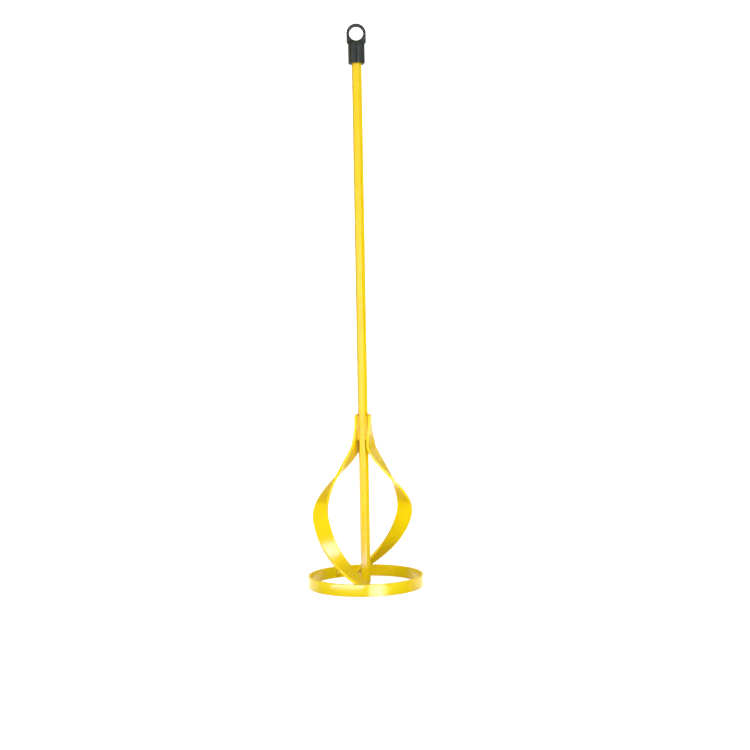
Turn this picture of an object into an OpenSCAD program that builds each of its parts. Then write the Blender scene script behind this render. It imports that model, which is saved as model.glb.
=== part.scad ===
// Mortar mixing paddle: a hexagon drive shaft, two flat bars bent and twisted out to a bottom
// ring, weld beads at every steel joint, and a pull-off hanging cap on the drive end.
// Origin: centre of the ring's lower plane, on the shaft's axis. +Z runs up the shaft.

/* [Shaft] */
// Across flats of the hexagon bar, which is also the drive
shaft_af = 10; // [8:0.5:12]
// Length of the hexagon bar
shaft_len = 598; // [400:1:700]
// Height of the shaft's foot above the ring's lower plane
shaft_foot_z = 3; // [0:0.5:6]
// Chamfer on both ends of the hexagon bar
shaft_chamfer = 1; // [0.5:0.25:1.5]
// Azimuth of one corner of the hexagon
hex_turn = -15; // [-30:1:30]

/* [Ring] */
// Outside diameter of the ring
ring_od = 128; // [126:1:130]
// Height of the flat bar that the ring is bent from
ring_h = 13; // [10:1:16]
// Thickness of the ring's flat bar
ring_t = 3; // [2.5:0.5:4]

/* [Bars] */
// Width of each twisted flat bar
bar_w = 17.5; // [16:0.5:18]
// Thickness of each twisted flat bar
bar_t = 3.2; // [2.8:0.1:3.4]
// Corner radius at the bar's upper end
bar_corner = 4.5; // [1:0.5:6]
// Height of the bars' upper ends
bar_top_z = 192; // [186:1:200]
// Height of the centre line's lower end
bar_foot_z = 5.2; // [4.2:0.1:6]
// Turn of a bar's face past the hexagon's corner, at the bar's top
bar_turn = 10; // [0:1:12]
// Height at which a bar bends away from the shaft
leave_z = 156; // [151:1:159]
// Height at which a bar has reached its full radius
full_z = 77; // [71:1:81]
// How soon a bar bends out: below 1 is sooner than a smooth step
bulge_power = 0.7; // [0.7:0.05:1]
// Radius of the centre line below full_z
full_r = 50.2; // [49:0.1:50.2]
// Further radius gained towards the foot, so that the outer edge meets the ring
foot_flare = 1.4; // [0:0.1:1.4]
// Azimuth that a bar sweeps from its top to its foot
sweep = 104.5; // [98:0.5:108]
// How late the sweep comes: 1 is an even helix
sweep_power = 2.75; // [2.4:0.05:3]
// Roll of the bar's face in the lower part, which stands the bar on its edge
full_roll = -69; // [-72:1:-66]
// Opposite roll where the bar leaves the shaft
early_roll = 29; // [20:1:30]
// Sideways drift of both feet towards -X, from bending by hand
foot_drift = 3.5; // [0:0.25:3.5]

/* [Welds] */
// Radius of the beads between a bar and the shaft
top_bead_r = 1.7; // [1.5:0.1:2]
// Length of the beads between a bar and the shaft
top_bead_len = 25; // [15:1:28]
// Radius of the beads between a bar and the ring
foot_bead_r = 1.5; // [1.2:0.1:1.8]
// Azimuth of the ring's closing seam
seam_az = 122; // [115:1:150]
// Radius of the bead inside the closing seam
seam_bead_r = 1.6; // [1.2:0.1:2]

/* [Cap] */
// Height of the cap's mouth
cap_mouth_z = 580; // [571:1:586]
// Across flats of the cap's outer hexagon
cap_af = 17; // [16:0.5:18]
// Radius that trims the outer hexagon's corners
cap_corner_r = 9.45; // [9:0.05:9.6]
// Gap between the shaft and the socket, on each side
socket_gap = 0.05; // [0.02:0.01:0.1]
// Depth of the shallow flute down each side of the sleeve
flute_depth = 0.5; // [0.2:0.1:0.8]
// Thickness of the cap over the end of the socket
roof_t = 0.8; // [0.6:0.1:1.5]
// Rise of the sloping top from the sleeve's edge to the eye plate
ramp_rise = 2.5; // [2:0.1:4]
// Rise of the eye plate's shoulders above the sleeve's edge
shoulder_rise = 1.6; // [1:0.1:2]
// Distance from the top of the slopes to the hole's lowest point
hole_rise = 1.05; // [0.5:0.05:3]
// Radius of the hanging hole
hole_r = 7.75; // [5:0.25:8]
// Width of the eye's wall at the hole's sides and top
eye_wall = 3.05; // [2.5:0.05:4]
// Thickness of the eye plate
eye_t = 5; // [4:0.5:7]

/* [Hidden] */
$fn = 96;
eps = 0.01;
shaft_top_z = shaft_foot_z + shaft_len;
hex_corner_r = shaft_af / 2 / cos(30);
left_az = 180 + hex_turn;
// Gap between a hexagon corner and the bar that lies along it
rest_gap = 0.1;
rest_r = hex_corner_r + rest_gap + bar_t / 2;
ring_r = ring_od / 2;
ring_inner_r = ring_r - ring_t;
// Steps along a bar, and the half step that its direction is taken over
stations = 64;
diff_step = 0.5;
// Heights between which a bar rolls one way, rolls back on edge, and flares
early_from_z = leave_z + 27;
early_to_z = leave_z - 8;
roll_from_z = leave_z + 4;
roll_to_z = full_z - 20;
flare_from_z = 46;
// Distance of a bead's ends from the end of the bar or the edge of the ring
bead_margin = 3;
// Clearance over the shaft's end inside the socket
socket_end_gap = 0.2;
socket_top_z = shaft_top_z + socket_end_gap;
sleeve_top_z = socket_top_z + roof_t;
shoulder_z = sleeve_top_z + shoulder_rise;
ramp_top_z = sleeve_top_z + ramp_rise;
eye_z = ramp_top_z + hole_rise + hole_r;
eye_r = hole_r + eye_wall;
flute_r = 9;

// Smooth step from 0 to 1 as height falls from one level to a lower one
function fall(z, from_z, to_z) =
    let (t = min(max((from_z - z) / (from_z - to_z), 0), 1)) t * t * (3 - 2 * t);
function unit(v) = v / norm(v);
// Share of the way from one height down to the bar's foot, 0 above that height
function passed(z, from_z) = max((from_z - z) / (from_z - bar_foot_z), 0);
function bar_late(z) = fall(z, roll_from_z, roll_to_z);
function bar_early(z) = early_roll * fall(z, early_from_z, early_to_z) * (1 - bar_late(z));
function bar_roll(z) = bar_early(z) + full_roll * bar_late(z);
// The centre line stands off by 1 / cos(roll), so that the rolled face clears the hexagon
function bar_radius(z) =
    let (rest = rest_r / cos(bar_early(z)))
    rest + (full_r - rest) * pow(fall(z, leave_z, full_z), bulge_power)
    + foot_flare * fall(z, flare_from_z, bar_foot_z);
function bar_azimuth(z) =
    left_az + bar_turn + sweep * pow(passed(z, bar_top_z), sweep_power);
function bar_centre(z, drift) =
    [
        bar_radius(z) * cos(bar_azimuth(z)) + drift * passed(z, leave_z),
        bar_radius(z) * sin(bar_azimuth(z)),
        z
    ];
function bar_tangent(z, drift) =
    unit(bar_centre(z - diff_step, drift) - bar_centre(z + diff_step, drift));
// Normal of the bar's outer face: the radial direction, rolled about the bar's own length
function bar_normal(z, drift) =
    let (
        along = bar_tangent(z, drift),
        radial = [cos(bar_azimuth(z)), sin(bar_azimuth(z)), 0],
        out = unit(radial - (radial * along) * along)
    )
    out * cos(bar_roll(z)) + cross(along, out) * sin(bar_roll(z));
// Direction across the bar, towards the edge that meets the ring
function bar_across(z, drift) = cross(bar_tangent(z, drift), bar_normal(z, drift));
// Half width of the bar, rounded off at its upper end
function half_width(z) =
    let (d = min(bar_top_z - z, bar_corner))
    bar_w / 2 - bar_corner + sqrt(bar_corner * bar_corner - pow(bar_corner - d, 2));
function station_z(i) =
    bar_top_z - (bar_top_z - bar_foot_z) * (1 - cos(180 * i / stations)) / 2;
// Point on the bar at height z: u across in half widths, v through in half thicknesses
function bar_point(z, drift, u, v) =
    bar_centre(z, drift)
    + bar_across(z, drift) * half_width(z) * u
    + bar_normal(z, drift) * bar_t / 2 * v;

module hex_prism(af, h) {
    rotate([0, 0, hex_turn])
        cylinder(d = af / cos(30), h = h, $fn = 6);
}

// Straight weld bead with round ends
module bead(from, to, r) {
    run = to - from;
    translate(from)
        rotate([0, acos(run[2] / norm(run)), atan2(run[1], run[0])])
            union() {
                cylinder(r = r, h = norm(run));
                sphere(r = r);
                translate([0, 0, norm(run)])
                    sphere(r = r);
            }
}

module flat_bar(drift) {
    // The wide faces also turn on their middle line
    outline = [[0, -1], [1, -1], [1, 1], [0, 1], [-1, 1], [-1, -1]];
    n = len(outline);
    last = stations * n;
    points = [
        for (i = [0:stations], c = outline) bar_point(station_z(i), drift, c[0], c[1])
    ];
    // Each side of each step is two triangles, so that every face is flat
    sides = [
        for (i = [0:stations - 1], k = [0:n - 1])
            let (a = i * n + k, b = i * n + (k + 1) % n)
            each [[a, b, b + n], [a, b + n, a + n]]
    ];
    ends = [for (k = [1:n - 2]) each [[0, k + 1, k], [last, last + k, last + k + 1]]];
    polyhedron(points = points, faces = concat(sides, ends));
}

// Two beads in the narrow gaps between a bar's inner face and the shaft
module top_weld() {
    to_z = bar_top_z - bead_margin;
    from_z = to_z - top_bead_len;
    aside = 2 * top_bead_r;
    // Middle of the gap at that distance from the corner
    out = hex_corner_r - aside * tan(30) / 2;
    rotate([0, 0, left_az])
        for (side = [-1, 1])
            bead([out, side * aside, from_z], [out, side * aside, to_z], top_bead_r);
}

// Two beads that join a bar's outer edge to the inside of the ring, one on each face of the bar
module foot_weld(drift) {
    to_z = ring_h - bead_margin / 2;
    for (side = [-1, 1])
        bead(foot_point(bar_foot_z, drift, side), foot_point(to_z, drift, side), foot_bead_r);
}
// Point beside the bar's outer edge, moved out to the ring's inner wall
function foot_point(z, drift, side) =
    let (
        beside = 1 + foot_bead_r / bar_t / 2,
        p = bar_point(z, drift, 1, side * beside),
        out = (ring_inner_r - foot_bead_r / 3) / norm([p[0], p[1]])
    )
    [p[0] * out, p[1] * out, max(p[2], foot_bead_r * 1.2)];

module hex_shaft() {
    // Both ends are turned to a cone that starts just inside the flats
    end_r = (shaft_af - shaft_chamfer) / 2;
    wide_r = shaft_af;
    cone_h = wide_r - end_r;
    color("gold")
        translate([0, 0, shaft_foot_z])
            intersection() {
                hex_prism(shaft_af, shaft_len);
                rotate_extrude()
                    polygon([
                        [0, 0],
                        [end_r, 0],
                        [wide_r, cone_h],
                        [wide_r, shaft_len - cone_h],
                        [end_r, shaft_len],
                        [0, shaft_len]
                    ]);
            }
}

module left_bar() {
    color("gold")
        flat_bar(-foot_drift);
}

module right_bar() {
    color("gold")
        rotate([0, 0, 180])
            flat_bar(foot_drift);
}

module bottom_ring() {
    edge = 0.3;
    color("gold")
        rotate_extrude()
            polygon([
                [ring_inner_r, edge],
                [ring_inner_r + edge, 0],
                [ring_r - edge, 0],
                [ring_r, edge],
                [ring_r, ring_h - edge],
                [ring_r - edge, ring_h],
                [ring_inner_r + edge, ring_h],
                [ring_inner_r, ring_h - edge]
            ]);
}

module left_top_weld() {
    color("gold")
        top_weld();
}

module right_top_weld() {
    color("gold")
        rotate([0, 0, 180])
            top_weld();
}

module left_foot_weld() {
    color("gold")
        foot_weld(-foot_drift);
}

module right_foot_weld() {
    color("gold")
        rotate([0, 0, 180])
            foot_weld(foot_drift);
}

// Upright bead on the inside of the ring, where its two ends meet
module ring_seam_weld() {
    reach = ring_h - bead_margin;
    color("gold")
        rotate([0, 0, seam_az])
            bead([ring_inner_r, 0, bead_margin], [ring_inner_r, 0, reach], seam_bead_r);
}

module cap_sleeve() {
    h = ramp_top_z - cap_mouth_z;
    translate([0, 0, cap_mouth_z])
        difference() {
            intersection() {
                hex_prism(cap_af, h);
                cylinder(r = cap_corner_r, h = h);
            }
            for (i = [0:5])
                rotate([0, 0, hex_turn + 30 + 60 * i])
                    translate([cap_af / 2 + flute_r - flute_depth, 0, -1])
                        cylinder(r = flute_r, h = h + 2);
        }
}

// Wedge that slopes the sleeve's top up to one face of the eye plate
module cap_ramp() {
    // The slope runs on a little below the sleeve's edge
    overrun = 2;
    rise = ramp_rise + overrun;
    run = cap_corner_r - eye_t / 2;
    span = 2 * cap_af;
    translate([0, eye_t / 2, ramp_top_z])
        rotate([-atan2(rise, run), 0, 0])
            translate([-span / 2, 0, 0])
                cube(span);
}

module eye_plate() {
    proud = 0.1;
    foot_half = cap_corner_r * cos(hex_turn) + proud;
    rotate([90, 0, 0])
        linear_extrude(eye_t, center = true)
            union() {
                translate([0, eye_z])
                    circle(r = eye_r);
                polygon([
                    [-eye_r, eye_z],
                    [-eye_r, shoulder_z],
                    [-foot_half, sleeve_top_z],
                    [foot_half, sleeve_top_z],
                    [eye_r, shoulder_z],
                    [eye_r, eye_z]
                ]);
            }
}

module hanging_cap() {
    socket_af = shaft_af + 2 * socket_gap;
    lead = 1.2;
    color([0.17, 0.19, 0.19])
        difference() {
            union() {
                difference() {
                    cap_sleeve();
                    cap_ramp();
                    rotate([0, 0, 180])
                        cap_ramp();
                }
                eye_plate();
            }
            translate([0, 0, cap_mouth_z - 1])
                hex_prism(socket_af, socket_top_z - cap_mouth_z + 1);
            translate([0, 0, cap_mouth_z - eps])
                cylinder(r1 = hex_corner_r + lead, r2 = hex_corner_r - lead, h = 2 * lead);
            translate([0, 0, eye_z])
                rotate([90, 0, 0])
                    cylinder(r = hole_r, h = 3 * eye_t, center = true);
        }
}

hex_shaft();
left_bar();
right_bar();
bottom_ring();
left_top_weld();
right_top_weld();
left_foot_weld();
right_foot_weld();
ring_seam_weld();
hanging_cap();
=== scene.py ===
"""Looks for a mortar mixing paddle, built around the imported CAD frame.

The places and sizes of the pieces come from the frame. The shaft, bars, ring and weld beads are
rebuilt as fine meshes with rounded edges, the cap is remeshed from its CAD solid so that its edges
soften, and every piece has a procedural material: yellow powder coat or dark moulded plastic.

Lengths are in metres, angles are in degrees until they are used, and the front is -Y.
"""

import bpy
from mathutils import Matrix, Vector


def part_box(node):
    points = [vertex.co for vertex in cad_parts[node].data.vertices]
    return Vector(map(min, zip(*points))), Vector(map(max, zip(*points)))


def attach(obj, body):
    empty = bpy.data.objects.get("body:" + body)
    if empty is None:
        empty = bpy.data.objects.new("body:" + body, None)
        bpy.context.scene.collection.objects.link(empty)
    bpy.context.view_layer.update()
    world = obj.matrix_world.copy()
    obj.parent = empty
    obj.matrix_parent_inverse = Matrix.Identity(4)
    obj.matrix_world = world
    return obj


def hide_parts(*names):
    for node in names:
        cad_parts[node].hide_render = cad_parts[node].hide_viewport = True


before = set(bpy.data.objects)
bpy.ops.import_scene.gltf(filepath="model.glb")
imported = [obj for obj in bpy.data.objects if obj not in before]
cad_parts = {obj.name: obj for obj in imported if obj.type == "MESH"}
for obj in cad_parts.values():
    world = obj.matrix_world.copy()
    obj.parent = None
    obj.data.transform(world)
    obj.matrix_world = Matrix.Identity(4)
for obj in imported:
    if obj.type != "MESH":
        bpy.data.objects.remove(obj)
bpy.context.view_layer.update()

import math

import bmesh
import bpy
import numpy as np
from mathutils import Matrix, Vector

MM = 0.001
STEEL_BODY = "paddle"
CAP_BODY = "cap"

# Vertices closer than this are one, and edges bent more than this are sharp
SAME_PLACE = 0.01 * MM
SHARP_ANGLE = 40

# The viewpoint: the camera stands on -Y and looks along +Y
CAMERA_DISTANCE = 1.35
CAMERA_HEIGHT = 0.2576
CAMERA_PAN = 0.605
CAMERA_TILT = -0.963
CAMERA_ROLL = -1.02
LENS_MM = 58.23
SENSOR_MM = 36.0

# Rounded edges: how many steps an arc has, and the most of a half side that it takes up
ARC_STEPS = 4
ROUNDEST = 0.95

# Shaft: radius of its corners and of its turned ends, spacing of its rings, and where the rings
# close up near an end
SHAFT_EDGE = 1.0 * MM
SHAFT_END_EDGE = 0.3 * MM
SHAFT_SPACING = 8 * MM
SHAFT_NEAR_END = np.array([0, 0.06, 0.15, 0.3, 0.5, 0.8, 1.1, 1.3, 1.6, 2.5]) * MM

# Bars: radius of their edges, radius of the outer edge that is ground round at the top, spacing of
# their sections, where the sections close up near an end, and steps of the smooth curve between
# two CAD stations. A CAD station is the four corners and the middle of both wide faces.
BAR_EDGE = 0.75 * MM
TOP_GROUND_R = 2.6 * MM
BAR_SPACING = 1.5 * MM
BAR_NEAR_END = np.array([0, 0.04, 0.12, 0.25, 0.4, 0.6, 0.9, 1.3, 1.8, 2.4, 3.1, 3.9]) * MM
CURVE_STEPS = 4
STATION_VERTS = 6

# Ring: radius of its edges, number of its sections, and the dressed patch at its closing seam
RING_EDGE = 0.6 * MM
RING_SECTIONS = 320
DRESSED_WIDTH = 3.5 * MM
DRESSED_DEPTH = 0.16 * MM

# Weld beads: the ripples, the slow swelling of a bead and how far it wanders sideways
RIPPLE_PITCH = 1.7 * MM
RIPPLE_DEPTH = 0.09
SWELL_PITCH = 9 * MM
SWELL = 0.04
WANDER_PITCH = 13 * MM
BEAD_WANDER = 0.12 * MM
BEAD_STEP = 0.15 * MM
BEAD_POINTS = 20
# Share of the stations that close up towards a bead's ends, the radius that is left at its tip
# as a share, and the shift of the ripples from one bead to the next
BEAD_CLOSING_SHARE = 0.25
BEAD_TIP = 0.02
BEAD_PHASE = 0.37
# A direction that no bead runs along, to measure its sides from
BEAD_REFERENCE = (0.3, 0.2, 0.93)
# Foot beads: radius, and distance from the bar's middle plane in half thicknesses
FOOT_BEAD_R = 1.5 * MM
FOOT_BEAD_OFFSET = 1.25
FOOT_PATH_SPACING = 1.0 * MM

# Cap: voxel of the remesh, the smoothing, and the raised line where the mould closed, which shows
# on the outer part of each side
CAP_VOXEL = 0.25 * MM
CAP_SMOOTH_FACTOR = 0.5
CAP_SMOOTH_PASSES = 9
PARTING_HALF_WIDTH = 0.3 * MM
PARTING_HEIGHT = 0.13 * MM
PARTING_REACH = 3.4 * MM

# Powder coat: bright tone, deep tone, and the painted reflection shade, a darker tint painted into
# the colour where it mirrors the studio's +Y side, which comes in over a span of depths of the
# mirrored direction
# The pieces' copies of the coat differ as painted light and shade: the ring's is painted lighter
# and the shaft's darker, for how the light falls on them
SHAFT_COLOURS = ((0.96, 0.7, 0.0005, 1), (0.94, 0.665, 0.0005, 1), (0.72, 0.66, 1, 1))
BAR_COLOURS = ((1.0, 0.75, 0.0005, 1), (0.97, 0.705, 0.0005, 1), (0.8, 0.75, 1, 1))
RING_COLOURS = ((1.0, 0.79, 0.0005, 1), (1.0, 0.745, 0.0005, 1), (0.97, 0.95, 1, 1))
WELD_COLOURS = ((0.97, 0.705, 0.0005, 1), (0.93, 0.65, 0.0005, 1), (0.8, 0.75, 1, 1))
PAINTED_REFLECTION_SPAN = (-0.05, 0.35)
# Specks in it, the pale primer that shows at thin edges, and the painted shade in corners
SPECK_COLOUR = (0.8, 0.47, 0.01, 1)
SPECK_STRENGTH = 0.12
PRIMER_COLOUR = (1.0, 0.76, 0.16, 1)
PRIMER_STRENGTH = 0.45
PRIMER_REACH = 0.7 * MM
PAINTED_CORNER_SHADE = (0.4, 0.19, 0.012, 1)
CORNER_SHADE_REACH = 9 * MM
# Its gloss
COAT_IOR = 1.4
COAT_SPECULAR = (0.3, 0.12, 1.0, 1)
COAT_ROUGHNESS = (0.18, 0.28)
CLEAR_WEIGHT = 0.08
CLEAR_ROUGHNESS = 0.08

# Plastic: its two tones, the tone of its rubbed edges, and its gloss
PLASTIC_COLOURS = ((0.017, 0.023, 0.0225, 1), (0.023, 0.03, 0.029, 1))
RUBBED_COLOUR = (0.05, 0.06, 0.058, 1)
RUBBED_STRENGTH = 0.5
RUBBED_REACH = 0.8 * MM
PLASTIC_IOR = 1.3
PLASTIC_ROUGHNESS = (0.38, 0.52)

# Floor and the wall that it sweeps up into
FLOOR_FRONT = -0.9
FLOOR_BACK = 1.3
FLOOR_HALF_WIDTH = 1.6
SWEEP_RADIUS = 0.5
SWEEP_STEPS = 16
WALL_TOP = 2.2
# The floor's tones for the camera and for the object, and the light that it gives to each on top
# of what it scatters. The second grows over a span of distances from the shaft's axis, so a shadow
# is painted into it round the paddle's foot.
FLOOR_TONES = (0.86, 0.9)
FLOOR_TONE_FOR_OBJECT = (0.5, 0.5, 0.5, 1)
FLOOR_GLOW = 0.65
FLOOR_BOUNCE = 0.75
FLOOR_PAINTED_SHADE_SPAN = (0.04, 0.13)

# Directions in the studio have their azimuth in the camera's heading: 0 is to the camera's right,
# 90 is straight ahead of the camera and -90 is behind it.
# What glossy surfaces mirror: soft boxes as (azimuth, elevation, half width, half height,
# softness, brightness). The one below the horizon is seen by way of a polished table.
MIRRORED_BOXES = (
    (-30, 62, 9, 7, 7, 28.0),
    (-66, -10, 15, 8, 12, 44.0),
    (-52, 7, 20, 7, 8, 9.0),
    (-120, 0, 4, 6, 3, 6.5),
    (20, 24, 26, 10, 12, 1.2),
    (-107, 3, 7, 4, 4, 34.0),
)
# The cream backdrop on the far side of the paddle and the pale table below it. Both come in over
# a span of depths, and the table's band has a lower and an upper edge, as spans of heights.
BACKDROP_COLOUR = (1, 0.74, 0.3, 1)
BACKDROP_LEVEL = 0.8
BACKDROP_SPAN = (0.0, 0.5)
TABLE_COLOUR = (0.85, 0.85, 0.9, 1)
TABLE_LEVEL = 1.5
TABLE_LOWER_EDGE = (-0.4, -0.22)
TABLE_UPPER_EDGE = (-0.02, -0.1)

# What lights the matt part of every surface: soft boxes, and a dome that brightens towards its
# middle over a span of facings
DOME_COLOUR = (1, 0.985, 0.96, 1)
DOME_AZIMUTH = -95
DOME_ELEVATION = 15
DOME_SPAN = (-0.7, 0.3)
DOME_DIM = 0.17
DOME_BRIGHT = 0.67
LIGHTING_BOXES = (
    (-30, 62, 11, 9, 9, 1.5),
    (-46, 10, 17, 8, 10, 4.0),
    (-135, 8, 15, 12, 10, 3.9),
)

# A bright patch of table that only reflections see, mostly in the shaft's foot: near and far
# distance, heading and half width, least and most brightness. It stays put for every viewpoint.
GLINT_NEAR = 0.12
GLINT_FAR = 0.32
GLINT_AZIMUTH = -120
GLINT_HALF_WIDTH = 28
GLINT_LEVELS = (27.2, 34.0)

WHITE = (1, 1, 1, 1)
AWAY = Vector((0, 1, 0))
UPWARD = Vector((0, 0, 1))
# Least share of a direction that points at a soft box
JUST_AHEAD = 0.001


# ---------------------------------------------------------------- mesh helpers

def link(name, data):
    """A new object in the scene."""
    obj = bpy.data.objects.new(name, data)
    bpy.context.scene.collection.objects.link(obj)
    return obj


def new_piece(name, verts, faces, material, node):
    """A mesh of coated steel that stands for a CAD node."""
    mesh = bpy.data.meshes.new(name)
    mesh.from_pydata([tuple(v) for v in verts], [], faces)
    bm = bmesh.new()
    bm.from_mesh(mesh)
    bmesh.ops.recalc_face_normals(bm, faces=bm.faces)
    bm.to_mesh(mesh)
    bm.free()
    finish_piece(link(name, mesh), material, STEEL_BODY, node)


def finish_piece(obj, material, body, node):
    """Material, smooth shading that keeps flat faces flat, and the ties to the frame."""
    obj.data.materials.clear()
    obj.data.materials.append(material)
    obj.data.shade_smooth()
    normals = obj.modifiers.new("flat_faces", "WEIGHTED_NORMAL")
    normals.mode = "FACE_AREA"
    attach(obj, body)
    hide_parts(node)


def loft(rings, closed=False):
    """Vertices and faces through rings of equal length; an open loft gets a fan at both ends."""
    n = len(rings[0])
    verts = [p for ring in rings for p in ring]
    faces = []
    spans = len(rings) if closed else len(rings) - 1
    for i in range(spans):
        a = i * n
        b = (i + 1) % len(rings) * n
        for k in range(n):
            m = (k + 1) % n
            faces.append((a + k, a + m, b + m, b + k))
    if not closed:
        for start in (0, (len(rings) - 1) * n):
            verts.append(np.mean(verts[start:start + n], axis=0))
            hub = len(verts) - 1
            faces += [(hub, start + k, start + (k + 1) % n) for k in range(n)]
    return verts, faces


def rounded_rectangle(half_u, half_v, radius):
    """Outline points (u, v) of a rectangle whose corners are arcs."""
    radius = min(radius, half_u * ROUNDEST, half_v * ROUNDEST)
    points = []
    for quarter, (side_u, side_v) in enumerate(((1, 1), (-1, 1), (-1, -1), (1, -1))):
        for k in range(ARC_STEPS + 1):
            angle = math.radians(90 * (quarter + k / ARC_STEPS))
            u = side_u * (half_u - radius) + radius * math.cos(angle)
            v = side_v * (half_v - radius) + radius * math.sin(angle)
            points.append((u, v))
    return points


def edge_inset(distance, radius):
    """How far a rounded end has drawn in at a distance from the end."""
    if distance >= radius:
        return 0.0
    return radius - math.sqrt(radius ** 2 - (radius - distance) ** 2)


def catmull_rom(points, steps):
    """A smooth curve through the points, with the given steps between two of them."""
    padded = np.vstack((2 * points[0] - points[1], points, 2 * points[-1] - points[-2]))
    curve = []
    for i in range(len(points) - 1):
        p0, p1, p2, p3 = padded[i:i + 4]
        for k in range(steps):
            t = k / steps
            curve.append(0.5 * (2 * p1 + (p2 - p0) * t + (2 * p0 - 5 * p1 + 4 * p2 - p3) * t ** 2
                                + (3 * p1 - p0 - 3 * p2 + p3) * t ** 3))
    curve.append(points[-1])
    return np.array(curve)


def run_along(path):
    """Length of the path from its start to each of its points."""
    lengths = np.linalg.norm(np.diff(path, axis=0), axis=1)
    return np.concatenate(([0], np.cumsum(lengths)))


def resample(path, run, at):
    """Points of the path at other lengths along it."""
    return np.column_stack([np.interp(at, run, path[:, k]) for k in range(3)])


# ---------------------------------------------------------------- shaft

def shaft_outline(corner_r, first_corner):
    """Outline (x, y) of the hexagon with rounded corners, from the angle of its first corner."""
    inset = SHAFT_EDGE / math.cos(math.radians(30))
    outline = []
    for corner in range(6):
        middle = first_corner + math.radians(60 * corner)
        for k in range(ARC_STEPS + 1):
            angle = middle + math.radians(60 * (k / ARC_STEPS - 0.5))
            x = (corner_r - inset) * math.cos(middle) + SHAFT_EDGE * math.cos(angle)
            y = (corner_r - inset) * math.sin(middle) + SHAFT_EDGE * math.sin(angle)
            outline.append((x, y))
    return outline


def make_shaft(material):
    """Hexagon bar with rounded corners, turned to a cone at both ends."""
    points = np.array([v.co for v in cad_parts["hex_shaft"].data.vertices])
    radius = np.hypot(points[:, 0], points[:, 1])
    corner = points[radius.argmax()]
    foot = points[:, 2].min()
    top = points[:, 2].max()
    end_r = radius[points[:, 2] > top - SAME_PLACE].max()
    outline = shaft_outline(radius.max(), math.atan2(corner[1], corner[0]))
    length = top - foot
    spaced = np.arange(SHAFT_SPACING, length - SHAFT_SPACING, SHAFT_SPACING)
    heights = np.concatenate((SHAFT_NEAR_END, spaced, length - SHAFT_NEAR_END[::-1]))
    rings = []
    for height in heights:
        from_end = min(height, length - height)
        limit = end_r + from_end - edge_inset(from_end, SHAFT_END_EDGE)
        ring = []
        for x, y in outline:
            shrink = min(1.0, limit / math.hypot(x, y))
            ring.append((x * shrink, y * shrink, foot + height))
        rings.append(ring)
    verts, faces = loft(rings)
    new_piece("coated_shaft", verts, faces, material, "hex_shaft")


# ---------------------------------------------------------------- twisted bars

def bar_stations(node):
    """Centre, across vector and thickness vector (both half length) at each CAD station.

    Stations run from the foot up. The CAD bar is four sharp edges joined by flat faces, with a
    line of vertices down the middle of both wide faces. Its foot is cut square, so its four
    corners there are the only vertices where three sharp edges meet. Each long edge is walked
    from one of them, along the shortest sharp edge first.
    """
    bm = bmesh.new()
    bm.from_mesh(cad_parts[node].data)
    bmesh.ops.remove_doubles(bm, verts=bm.verts, dist=SAME_PLACE)
    sharp = {}
    for edge in bm.edges:
        if len(edge.link_faces) == 2 and edge.calc_face_angle() > math.radians(SHARP_ANGLE):
            a, b = edge.verts
            sharp.setdefault(a, []).append(b)
            sharp.setdefault(b, []).append(a)
    corners = [v for v, near in sharp.items() if len(near) == 3]
    count = len(bm.verts) // STATION_VERTS
    chains = []
    for corner in corners:
        last = corner
        at = min(sharp[corner], key=lambda v: (v.co - corner.co).length)
        chain = [last.co.copy(), at.co.copy()]
        while len(chain) < count:
            last, at = at, next(v for v in sharp[at] if v is not last)
            chain.append(at.co.copy())
        chains.append(np.array(chain))
    bm.free()
    by_distance = sorted(chains, key=lambda c: -math.hypot(c[0][0], c[0][1]))
    far = by_distance[:2]
    near = sorted(by_distance[2:], key=lambda c: np.linalg.norm(c[0] - far[0][0]))
    centre = (far[0] + far[1] + near[0] + near[1]) / 4
    across = (far[0] + far[1] - near[0] - near[1]) / 4
    through = (far[0] + near[0] - far[1] - near[1]) / 4
    return centre, across, through


def fine_stations(node, spacing):
    """The stations resampled along smooth curves at an even spacing, finer at both ends."""
    curves = [catmull_rom(line, CURVE_STEPS) for line in bar_stations(node)]
    run = run_along(curves[0])
    middle = np.linspace(BAR_NEAR_END[-1], run[-1] - BAR_NEAR_END[-1], int(run[-1] / spacing))
    at = np.concatenate((BAR_NEAR_END[:-1], middle, run[-1] - BAR_NEAR_END[-2::-1]))
    centre, across, through = (resample(curve, run, at) for curve in curves)
    return at, centre, across, through


def make_bar(name, node, material):
    """Twisted flat bar with rounded edges, lofted through the CAD bar's stations."""
    at, centre, across, through = fine_stations(node, BAR_SPACING)
    outward = np.sign(np.dot(through[-1][:2], centre[-1][:2]))
    rings = []
    for run, middle, wide, thick in zip(at, centre, across, through):
        half_u = np.linalg.norm(wide)
        half_v = np.linalg.norm(thick)
        u_axis = wide / half_u
        v_axis = thick / half_v
        inset = edge_inset(min(run, at[-1] - run), BAR_EDGE)
        # Grinding takes its depth off the outer face only, so the section thins and moves inwards
        ground = edge_inset(at[-1] - run, TOP_GROUND_R) / 2
        section = rounded_rectangle(half_u - inset, half_v - max(inset, ground), BAR_EDGE)
        middle = middle - outward * max(ground - inset, 0) * v_axis
        rings.append([middle + u * u_axis + v * v_axis for u, v in section])
    verts, faces = loft(rings)
    new_piece(name, verts, faces, material, node)


# ---------------------------------------------------------------- ring

def ring_size():
    """Inner and outer radius, lowest and highest level of the CAD ring."""
    points = np.array([v.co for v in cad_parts["bottom_ring"].data.vertices])
    radius = np.hypot(points[:, 0], points[:, 1])
    return radius.min(), radius.max(), points[:, 2].min(), points[:, 2].max()


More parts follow.
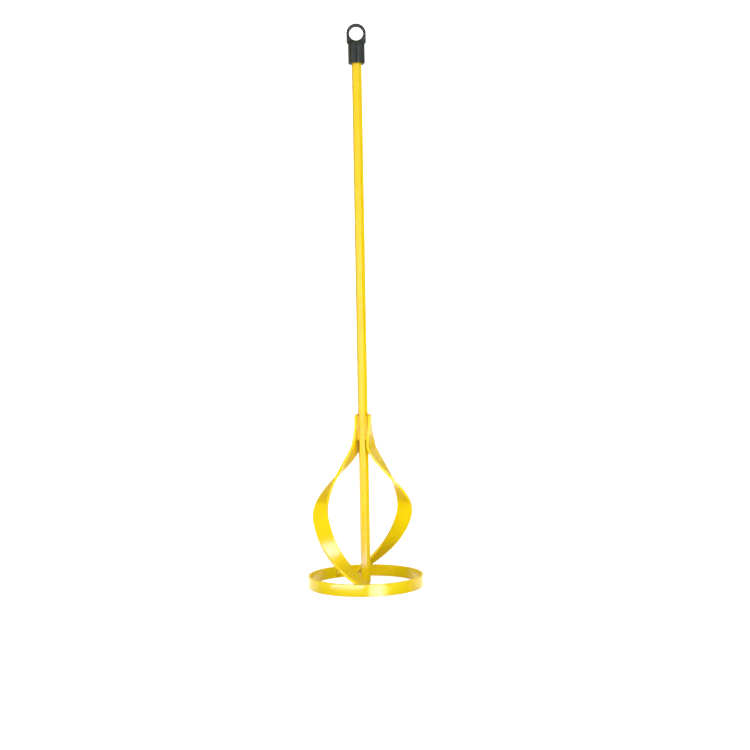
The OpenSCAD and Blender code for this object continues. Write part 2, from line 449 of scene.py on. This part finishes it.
def make_ring(material):
    """Flat bar bent to a ring, with rounded edges, a little thinner where its seam was dressed."""
    inner, outer, low, high = ring_size()
    seam_low, seam_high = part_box("ring_seam_weld")
    seam = (seam_low + seam_high) / 2
    seam_angle = math.atan2(seam.y, seam.x)
    profile = rounded_rectangle((outer - inner) / 2, (high - low) / 2, RING_EDGE)
    rings = []
    for i in range(RING_SECTIONS):
        angle = 2 * math.pi * i / RING_SECTIONS
        away = math.remainder(angle - seam_angle, 2 * math.pi) * outer
        thinner = 1 - DRESSED_DEPTH / (outer - inner) * math.exp(-(away / DRESSED_WIDTH) ** 2)
        ring = []
        for u, v in profile:
            radius = (outer + inner) / 2 + u * thinner
            ring.append((radius * math.cos(angle), radius * math.sin(angle), (low + high) / 2 + v))
        rings.append(ring)
    verts, faces = loft(rings, closed=True)
    new_piece("coated_ring", verts, faces, material, "bottom_ring")


# ---------------------------------------------------------------- weld beads

def bead_rings(path, radius, phase):
    """Rings of a rippled weld bead with round ends along a path of points."""
    path = np.array(path, float)
    run = run_along(path)
    count = int(run[-1] / BEAD_STEP)
    # The stations close up towards both ends, where the bead is round
    even = np.linspace(0, 1, count)
    closing_up = (1 - np.cos(np.linspace(0, math.pi, count))) / 2
    at = run[-1] * (BEAD_CLOSING_SHARE * closing_up + (1 - BEAD_CLOSING_SHARE) * even)
    middle = resample(path, run, at)
    along = np.gradient(middle, axis=0)
    along /= np.linalg.norm(along, axis=1)[:, None]
    rings = []
    for s, point, forward in zip(at, middle, along):
        side = np.cross(forward, BEAD_REFERENCE)
        side /= np.linalg.norm(side)
        lift = np.cross(side, forward)
        from_end = min(s, run[-1] - s)
        closing = math.sqrt(max(1 - (1 - min(from_end / radius, 1)) ** 2, BEAD_TIP ** 2))
        ripple = 1 - RIPPLE_DEPTH * ((s / RIPPLE_PITCH + phase) % 1) ** 2
        swell = 1 + SWELL * math.sin(2 * math.pi * s / SWELL_PITCH + phase)
        wander = BEAD_WANDER * math.sin(2 * math.pi * s / WANDER_PITCH + 2 * phase)
        r = radius * closing * ripple * swell
        ring = []
        for k in range(BEAD_POINTS):
            angle = 2 * math.pi * k / BEAD_POINTS
            ring.append(point + side * (r * math.cos(angle) + wander) + lift * r * math.sin(angle))
        rings.append(ring)
    return rings


def make_beads(name, node, paths, radius, material):
    """One weld of one or more rippled beads."""
    verts = []
    faces = []
    for number, path in enumerate(paths):
        more_verts, more_faces = loft(bead_rings(path, radius, BEAD_PHASE * number))
        faces += [tuple(i + len(verts) for i in face) for face in more_faces]
        verts += more_verts
    new_piece(name, verts, faces, material, node)


def straight_beads(node):
    """Paths and radius of upright CAD beads, one for each separate part of the node."""
    bm = bmesh.new()
    bm.from_mesh(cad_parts[node].data)
    bmesh.ops.remove_doubles(bm, verts=bm.verts, dist=SAME_PLACE)
    left = set(bm.verts)
    paths = []
    while left:
        island = {min(left, key=lambda v: v.index)}
        front = set(island)
        while front:
            front = {e.other_vert(v) for v in front for e in v.link_edges} - island
            island |= front
        left -= island
        co = np.array([v.co for v in island])
        low, high = co.min(0), co.max(0)
        middle = (low + high) / 2
        radius = (high[0] - low[0]) / 2
        paths.append([(middle[0], middle[1], low[2]), (middle[0], middle[1], high[2])])
    bm.free()
    return paths, radius


def foot_paths(bar_node, weld_node):
    """Paths beside the bar's outer edge where it meets the ring, one on each face of the bar."""
    radius = FOOT_BEAD_R
    # A bead's middle line runs a third of its radius off the ring's wall
    distance = ring_size()[0] - radius / 3
    low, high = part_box(weld_node)
    _, centre, across, through = fine_stations(bar_node, FOOT_PATH_SPACING)
    paths = []
    for side in (-1, 1):
        path = []
        for middle, wide, thick in zip(centre, across, through):
            point = middle + wide + side * FOOT_BEAD_OFFSET * thick
            point[:2] *= distance / math.hypot(point[0], point[1])
            if low.z + radius <= point[2] <= high.z - radius:
                path.append(point)
        lead = path[0] - path[1]
        tail = path[-1] - path[-2]
        path.insert(0, path[0] + lead / np.linalg.norm(lead) * radius)
        path.append(path[-1] + tail / np.linalg.norm(tail) * radius)
        paths.append(path)
    return paths, radius


# ---------------------------------------------------------------- cap

def make_cap(material):
    """The cap's CAD solid remeshed and smoothed, with a fine line where the mould closed."""
    solid = link("cap_solid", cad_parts["hanging_cap"].data.copy())
    weld = solid.modifiers.new("weld", "WELD")
    weld.merge_threshold = SAME_PLACE
    remesh = solid.modifiers.new("remesh", "REMESH")
    remesh.mode = "VOXEL"
    remesh.voxel_size = CAP_VOXEL
    smooth = solid.modifiers.new("smooth", "SMOOTH")
    smooth.factor = CAP_SMOOTH_FACTOR
    smooth.iterations = CAP_SMOOTH_PASSES
    graph = bpy.context.evaluated_depsgraph_get()
    mesh = bpy.data.meshes.new_from_object(solid.evaluated_get(graph))
    bpy.data.objects.remove(solid)
    raise_parting_line(mesh)
    cap = link("moulded_cap", mesh)
    finish_piece(cap, material, CAP_BODY, "hanging_cap")


def raise_parting_line(mesh):
    """Lifts the outside of the cap a little along the plane of its eye plate."""
    low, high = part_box("hanging_cap")
    count = len(mesh.vertices)
    co = np.zeros(count * 3)
    normal = np.zeros(count * 3)
    mesh.vertices.foreach_get("co", co)
    mesh.vertices.foreach_get("normal", normal)
    co = co.reshape(-1, 3)
    normal = normal.reshape(-1, 3)
    outside = np.abs(co[:, 0]) > (high.x - low.x) / 2 - PARTING_REACH
    near = np.clip(1 - np.abs(co[:, 1]) / PARTING_HALF_WIDTH, 0, 1)
    co += normal * (PARTING_HEIGHT * near * outside)[:, None]
    co = np.clip(co, low, high)
    mesh.vertices.foreach_set("co", co.ravel())
    mesh.update()


# ---------------------------------------------------------------- node helpers

class Nodes:
    """Short calls for building a node tree."""

    def __init__(self, tree):
        self.tree = tree

    def add(self, kind, inputs=(), **settings):
        """A new node with its inputs, each a value or a socket, and its settings."""
        node = self.tree.nodes.new(kind)
        for name, value in settings.items():
            setattr(node, name, value)
        for name, value in dict(inputs).items():
            self.put(node.inputs[name], value)
        return node

    def put(self, socket, value):
        """Links a socket to the input, or sets the input's value."""
        if isinstance(value, bpy.types.NodeSocket):
            self.tree.links.new(value, socket)
        else:
            socket.default_value = value

    def fill(self, node, values):
        """Puts values in the node's first inputs."""
        for socket, value in zip(node.inputs, values):
            self.put(socket, value)
        return node

    def math(self, operation, *values):
        node = self.add("ShaderNodeMath", operation=operation)
        return self.fill(node, values).outputs[0]

    def vector_math(self, operation, first, second, output="Vector"):
        node = self.add("ShaderNodeVectorMath", operation=operation)
        return self.fill(node, (first, second)).outputs[output]

    def noise(self, vector, scale, detail, roughness=0.5):
        inputs = {"Vector": vector, "Scale": scale, "Detail": detail, "Roughness": roughness}
        return self.add("ShaderNodeTexNoise", inputs).outputs["Fac"]

    def span(self, value, low, high, to_low=0.0, to_high=1.0):
        """The value carried smoothly from one range to another, clamped."""
        inputs = {"Value": value, "From Min": low, "From Max": high, "To Min": to_low,
                  "To Max": to_high}
        node = self.add("ShaderNodeMapRange", inputs, interpolation_type="SMOOTHSTEP")
        return node.outputs["Result"]

    def mix(self, factor, first, second, blend="MIX"):
        """Two colours mixed. Sockets 6 and 7, and output 2, are the node's colour ones."""
        node = self.add("ShaderNodeMix", data_type="RGBA", blend_type=blend)
        self.put(node.inputs[0], factor)
        self.put(node.inputs[6], first)
        self.put(node.inputs[7], second)
        return node.outputs[2]

    def mix_shader(self, factor, first, second):
        return self.fill(self.add("ShaderNodeMixShader"), (factor, first, second)).outputs[0]

    def add_shader(self, first, second):
        return self.fill(self.add("ShaderNodeAddShader"), (first, second)).outputs[0]

    def background(self, colour, strength):
        inputs = {"Color": colour, "Strength": strength}
        return self.add("ShaderNodeBackground", inputs).outputs[0]

    def bump(self, height, distance, strength, normal=None):
        inputs = {"Height": height, "Distance": distance, "Strength": strength}
        if normal is not None:
            inputs["Normal"] = normal
        return self.add("ShaderNodeBump", inputs).outputs["Normal"]


def new_material(name):
    """An empty material, its nodes and the place on the object."""
    material = bpy.data.materials.new(name)
    material.use_nodes = True
    material.node_tree.nodes.clear()
    nodes = Nodes(material.node_tree)
    place = nodes.add("ShaderNodeTexCoord").outputs["Object"]
    return material, nodes, place


def surface(nodes, shader):
    """Makes the shader the material's surface."""
    output = nodes.add("ShaderNodeOutputMaterial")
    nodes.put(output.inputs["Surface"], shader)


def edge_sharpness(nodes, reach):
    """How much the surface turns within a reach: 0 on a flat face, more at an edge."""
    bevel = nodes.add("ShaderNodeBevel", {"Radius": reach}, samples=4).outputs["Normal"]
    flat = nodes.add("ShaderNodeNewGeometry").outputs["Normal"]
    return nodes.math("SUBTRACT", 1.0, nodes.vector_math("DOT_PRODUCT", bevel, flat, "Value"))


# ---------------------------------------------------------------- materials

def powder_coat(name, bright, deep, reflection_shade, corner_shade_strength=0.5, peel=0.22):
    """Glossy yellow powder coat: soft colour drift, orange peel, thin pale edges, painted shade in
    corners and a painted reflection shade.
    """
    material, nodes, place = new_material(name)
    drift = nodes.span(nodes.noise(place, scale=28, detail=3), 0.35, 0.65)
    colour = nodes.mix(drift, bright, deep)
    specks = nodes.span(nodes.noise(place, scale=1400, detail=2), 0.6, 0.75)
    colour = nodes.mix(nodes.math("MULTIPLY", specks, SPECK_STRENGTH), colour, SPECK_COLOUR)
    # Painted reflection shade: where the coat mirrors the studio's +Y side its colour is darkened
    mirrored = nodes.add("ShaderNodeTexCoord").outputs["Reflection"]
    depth = nodes.vector_math("DOT_PRODUCT", mirrored, AWAY, "Value")
    colour = nodes.mix(nodes.span(depth, *PAINTED_REFLECTION_SPAN), colour, reflection_shade, "MULTIPLY")
    # The coat draws thin on sharp edges and lets the pale primer through
    thin = nodes.span(edge_sharpness(nodes, PRIMER_REACH), 0.01, 0.12)
    patchy = nodes.span(nodes.noise(place, scale=160, detail=3), 0.4, 0.62)
    worn = nodes.math("MULTIPLY", nodes.math("MULTIPLY", thin, patchy), PRIMER_STRENGTH)
    colour = nodes.mix(worn, colour, PRIMER_COLOUR)
    # Painted shade: corners are darkened by ambient occlusion, standing in for the shade that
    # falls there
    hollow = nodes.add("ShaderNodeAmbientOcclusion", {"Distance": CORNER_SHADE_REACH}, samples=6)
    dark = nodes.span(hollow.outputs["AO"], 0.1, 0.6, corner_shade_strength, 0.0)
    colour = nodes.mix(dark, colour, PAINTED_CORNER_SHADE)
    rough = nodes.span(nodes.noise(place, scale=90, detail=3), 0.3, 0.7, *COAT_ROUGHNESS)
    # Orange peel: shallow waves with a fine grain on them
    waves = nodes.noise(place, scale=210, detail=1)
    grain = nodes.noise(place, scale=900, detail=2)
    normal = nodes.bump(waves, distance=0.25 * MM, strength=0.1)
    normal = nodes.bump(grain, distance=0.06 * MM, strength=peel, normal=normal)
    shader = nodes.add("ShaderNodeBsdfPrincipled", {
        "Base Color": colour, "Roughness": rough, "Normal": normal, "IOR": COAT_IOR,
        "Specular Tint": COAT_SPECULAR, "Coat Weight": CLEAR_WEIGHT,
        "Coat Roughness": CLEAR_ROUGHNESS, "Coat Normal": normal,
    })
    surface(nodes, shader.outputs["BSDF"])
    return material


def moulded_plastic(name):
    """Dark grey moulded plastic with a fine spark grain and edges rubbed smooth."""
    material, nodes, place = new_material(name)
    drift = nodes.span(nodes.noise(place, scale=120, detail=4), 0.35, 0.65)
    colour = nodes.mix(drift, *PLASTIC_COLOURS)
    rubbed = nodes.span(edge_sharpness(nodes, RUBBED_REACH), 0.01, 0.15)
    colour = nodes.mix(nodes.math("MULTIPLY", rubbed, RUBBED_STRENGTH), colour, RUBBED_COLOUR)
    rough = nodes.span(nodes.noise(place, scale=300, detail=3), 0.3, 0.7, *PLASTIC_ROUGHNESS)
    rough = nodes.math("SUBTRACT", rough, nodes.math("MULTIPLY", rubbed, 0.1))
    # Moulding: faint flow waves with the spark grain on them
    flow = nodes.noise(place, scale=260, detail=2)
    grain = nodes.noise(place, scale=2600, detail=3, roughness=0.6)
    normal = nodes.bump(flow, distance=0.2 * MM, strength=0.12)
    normal = nodes.bump(grain, distance=0.05 * MM, strength=0.5, normal=normal)
    shader = nodes.add("ShaderNodeBsdfPrincipled", {
        "Base Color": colour, "Roughness": rough, "Normal": normal, "IOR": PLASTIC_IOR,
    })
    surface(nodes, shader.outputs["BSDF"])
    return material


def pale_floor(name):
    """Plain pale studio floor, bright enough to meet the white background."""
    material, nodes, place = new_material(name)
    mottle = nodes.span(nodes.noise(place, scale=9, detail=2), 0.2, 0.8, *FLOOR_TONES)
    shade = nodes.add("ShaderNodeCombineColor")
    for channel in ("Red", "Green", "Blue"):
        nodes.put(shade.inputs[channel], mottle)
    # The object itself sees a darker floor, which glows further out: a painted shadow round the
    # foot
    seen = nodes.add("ShaderNodeLightPath").outputs["Is Camera Ray"]
    shade = nodes.mix(seen, FLOOR_TONE_FOR_OBJECT, shade.outputs["Color"])
    diffuse = nodes.add("ShaderNodeBsdfDiffuse", {"Color": shade}).outputs[0]
    away = nodes.vector_math("LENGTH", place, Vector(), "Value")
    bounce_with_painted_shade = nodes.span(away, *FLOOR_PAINTED_SHADE_SPAN, 0.0, FLOOR_BOUNCE)
    strength = nodes.span(seen, 0, 1, bounce_with_painted_shade, FLOOR_GLOW)
    glow = nodes.add("ShaderNodeEmission", {"Color": WHITE, "Strength": strength}).outputs[0]
    surface(nodes, nodes.add_shader(diffuse, glow))
    return material


# ---------------------------------------------------------------- studio

def make_floor():
    """Floor that sweeps up into a backdrop. Reflections pass through it to the world."""
    profile = [(FLOOR_FRONT, 0.0), (FLOOR_BACK, 0.0)]
    for k in range(1, SWEEP_STEPS + 1):
        angle = math.radians(90 * k / SWEEP_STEPS)
        y = FLOOR_BACK + SWEEP_RADIUS * math.sin(angle)
        profile.append((y, SWEEP_RADIUS * (1 - math.cos(angle))))
    profile.append((FLOOR_BACK + SWEEP_RADIUS, WALL_TOP))
    verts = [(x, y, z) for y, z in profile for x in (-FLOOR_HALF_WIDTH, FLOOR_HALF_WIDTH)]
    faces = [(2 * i, 2 * i + 1, 2 * i + 3, 2 * i + 2) for i in range(len(profile) - 1)]
    mesh = bpy.data.meshes.new("studio_floor")
    mesh.from_pydata(verts, [], faces)
    mesh.shade_smooth()
    mesh.materials.append(pale_floor("pale_floor"))
    floor = link("studio_floor", mesh)
    floor.visible_glossy = False


def heading(azimuth, elevation):
    """Unit vector in a direction."""
    a = math.radians(azimuth)
    e = math.radians(elevation)
    return Vector((math.cos(a) * math.cos(e), math.sin(a) * math.cos(e), math.sin(e)))


def make_table_glint():
    """The bright patch of table, which only reflections see."""
    corners = []
    for distance in (GLINT_NEAR, GLINT_FAR):
        for side in (-1, 1):
            toward = heading(GLINT_AZIMUTH + side * GLINT_HALF_WIDTH, 0)
            corners.append(tuple(toward * distance))
    mesh = bpy.data.meshes.new("table_glint")
    mesh.from_pydata(corners, [], [(0, 1, 3, 2)])
    material, nodes, place = new_material("table_glint")
    mottle = nodes.span(nodes.noise(place, scale=12, detail=2), 0.2, 0.8, *GLINT_LEVELS)
    surface(nodes, nodes.add("ShaderNodeEmission", {"Strength": mottle}).outputs[0])
    mesh.materials.append(material)
    glint = link("table_glint", mesh)
    glint.visible_camera = False
    glint.visible_diffuse = False
    glint.visible_shadow = False


def soft_box(nodes, direction, azimuth, elevation, half_width, half_height, softness, level):
    """Brightness of one flat soft box, far away, in the given direction."""
    centre = heading(azimuth, elevation)
    right = heading(azimuth + 90, 0)
    up = centre.cross(right)
    # Directions on the far side of the studio from the box get none of it
    ahead = nodes.vector_math("DOT_PRODUCT", direction, centre, "Value")
    depth = nodes.math("MAXIMUM", ahead, JUST_AHEAD)
    level = nodes.math("MULTIPLY", level, nodes.math("GREATER_THAN", ahead, JUST_AHEAD))
    for axis, half in ((right, half_width), (up, half_height)):
        aside = nodes.vector_math("DOT_PRODUCT", direction, axis, "Value")
        aside = nodes.math("ABSOLUTE", nodes.math("DIVIDE", aside, depth))
        full = math.tan(math.radians(half - softness / 2))
        none = math.tan(math.radians(half + softness / 2))
        level = nodes.math("MULTIPLY", level, nodes.span(aside, full, none, 1.0, 0.0))
    return level


def all_boxes(nodes, direction, boxes, level):
    """The level with the brightness of every soft box added to it."""
    for box in boxes:
        level = nodes.math("ADD", level, soft_box(nodes, direction, *box))
    return level


def behind(nodes, direction, level):
    """A level that only shows in directions away from the camera."""
    depth = nodes.vector_math("DOT_PRODUCT", direction, AWAY, "Value")
    return nodes.math("MULTIPLY", level, nodes.span(depth, *BACKDROP_SPAN))


def table_level(nodes, direction):
    """Reflected brightness of the table: a band just below the horizon."""
    height = nodes.vector_math("DOT_PRODUCT", direction, UPWARD, "Value")
    above = nodes.span(height, *TABLE_LOWER_EDGE)
    below = nodes.span(height, *TABLE_UPPER_EDGE)
    band = nodes.math("MULTIPLY", above, below)
    return behind(nodes, direction, nodes.math("MULTIPLY", band, TABLE_LEVEL))


def dome_level(nodes, direction):
    """Brightness of the dome, which fades from its bright side to its dim one."""
    middle = heading(DOME_AZIMUTH, DOME_ELEVATION)
    facing = nodes.vector_math("DOT_PRODUCT", direction, middle, "Value")
    return nodes.span(facing, *DOME_SPAN, DOME_DIM, DOME_BRIGHT)


def seen_from_camera(nodes, direction):
    """A direction in the camera's heading: x to its right, y away from it and z up.

    So the studio stands the same way round the camera from every viewpoint. In the node's camera
    space, z points away from the camera.
    """
    ahead = nodes.add("ShaderNodeVectorTransform", {"Vector": UPWARD}, vector_type="VECTOR",
                      convert_from="CAMERA", convert_to="WORLD").outputs[0]
    away = nodes.vector_math("MULTIPLY", ahead, (1, 1, 0))
    away = nodes.vector_math("NORMALIZE", away, (0, 0, 0))
    right = nodes.vector_math("CROSS_PRODUCT", away, UPWARD)
    parts = {}
    for name, axis in (("X", right), ("Y", away), ("Z", UPWARD)):
        parts[name] = nodes.vector_math("DOT_PRODUCT", direction, axis, "Value")
    return nodes.add("ShaderNodeCombineXYZ", parts).outputs[0]


def make_studio_light():
    """Studio light from the world: the camera itself sees a plain white background.

    Glossy rays see the mirrored boxes, the table and the backdrop, and all others see the dome
    and the lighting boxes.
    """
    world = bpy.data.worlds.new("studio")
    bpy.context.scene.world = world
    world.use_nodes = True
    world.node_tree.nodes.clear()
    nodes = Nodes(world.node_tree)
    direction = nodes.add("ShaderNodeTexCoord").outputs["Generated"]
    direction = seen_from_camera(nodes, direction)
    boxes = nodes.background(WHITE, all_boxes(nodes, direction, MIRRORED_BOXES, 0.0))
    table = nodes.background(TABLE_COLOUR, table_level(nodes, direction))
    backdrop = nodes.background(BACKDROP_COLOUR, behind(nodes, direction, BACKDROP_LEVEL))
    mirrored = nodes.add_shader(boxes, nodes.add_shader(table, backdrop))
    level = all_boxes(nodes, direction, LIGHTING_BOXES, dome_level(nodes, direction))
    dome = nodes.background(DOME_COLOUR, level)
    white = nodes.background(WHITE, 1.0)
    ray = nodes.add("ShaderNodeLightPath")
    lit = nodes.mix_shader(ray.outputs["Is Glossy Ray"], dome, mirrored)
    seen = nodes.mix_shader(ray.outputs["Is Camera Ray"], lit, white)
    output = nodes.add("ShaderNodeOutputWorld")
    nodes.put(output.inputs["Surface"], seen)
    bpy.context.scene.view_settings.view_transform = "Standard"


def make_camera():
    """Camera at the viewpoint, aimed by rotation only."""
    data = bpy.data.cameras.new("camera")
    data.sensor_width = SENSOR_MM
    data.lens = LENS_MM
    camera = link("camera", data)
    pan, tilt, roll = (math.radians(x) for x in (CAMERA_PAN, CAMERA_TILT, CAMERA_ROLL))
    flat = math.cos(tilt)
    forward = Vector((math.sin(pan) * flat, math.cos(pan) * flat, math.sin(tilt)))
    level = Vector((math.cos(pan), -math.sin(pan), 0))
    upright = level.cross(forward)
    right = math.cos(roll) * level + math.sin(roll) * upright
    up = right.cross(forward)
    basis = Matrix((right, up, -forward)).transposed().to_4x4()
    camera.matrix_world = Matrix.Translation((0, -CAMERA_DISTANCE, CAMERA_HEIGHT)) @ basis
    bpy.context.scene.camera = camera


# ---------------------------------------------------------------- build

def build_paddle():
    """Every visible piece, in place of its CAD node."""
    shaft_coat = powder_coat("powder_coat_shaft", *SHAFT_COLOURS)
    bar_coat = powder_coat("powder_coat_bars", *BAR_COLOURS)
    ring_coat = powder_coat("powder_coat_ring", *RING_COLOURS)
    weld_coat = powder_coat("powder_coat_welds", *WELD_COLOURS, corner_shade_strength=0.3, peel=0.5)
    make_shaft(shaft_coat)
    make_bar("left_twisted_bar", "left_bar", bar_coat)
    make_bar("right_twisted_bar", "right_bar", bar_coat)
    make_ring(ring_coat)
    for node in ("left_top_weld", "right_top_weld", "ring_seam_weld"):
        make_beads(node + "_beads", node, *straight_beads(node), weld_coat)
    for side in ("left", "right"):
        node = side + "_foot_weld"
        make_beads(node + "_beads", node, *foot_paths(side + "_bar", node), weld_coat)
    make_cap(moulded_plastic("moulded_plastic"))


build_paddle()
make_floor()
make_table_glint()
make_studio_light()
make_camera()
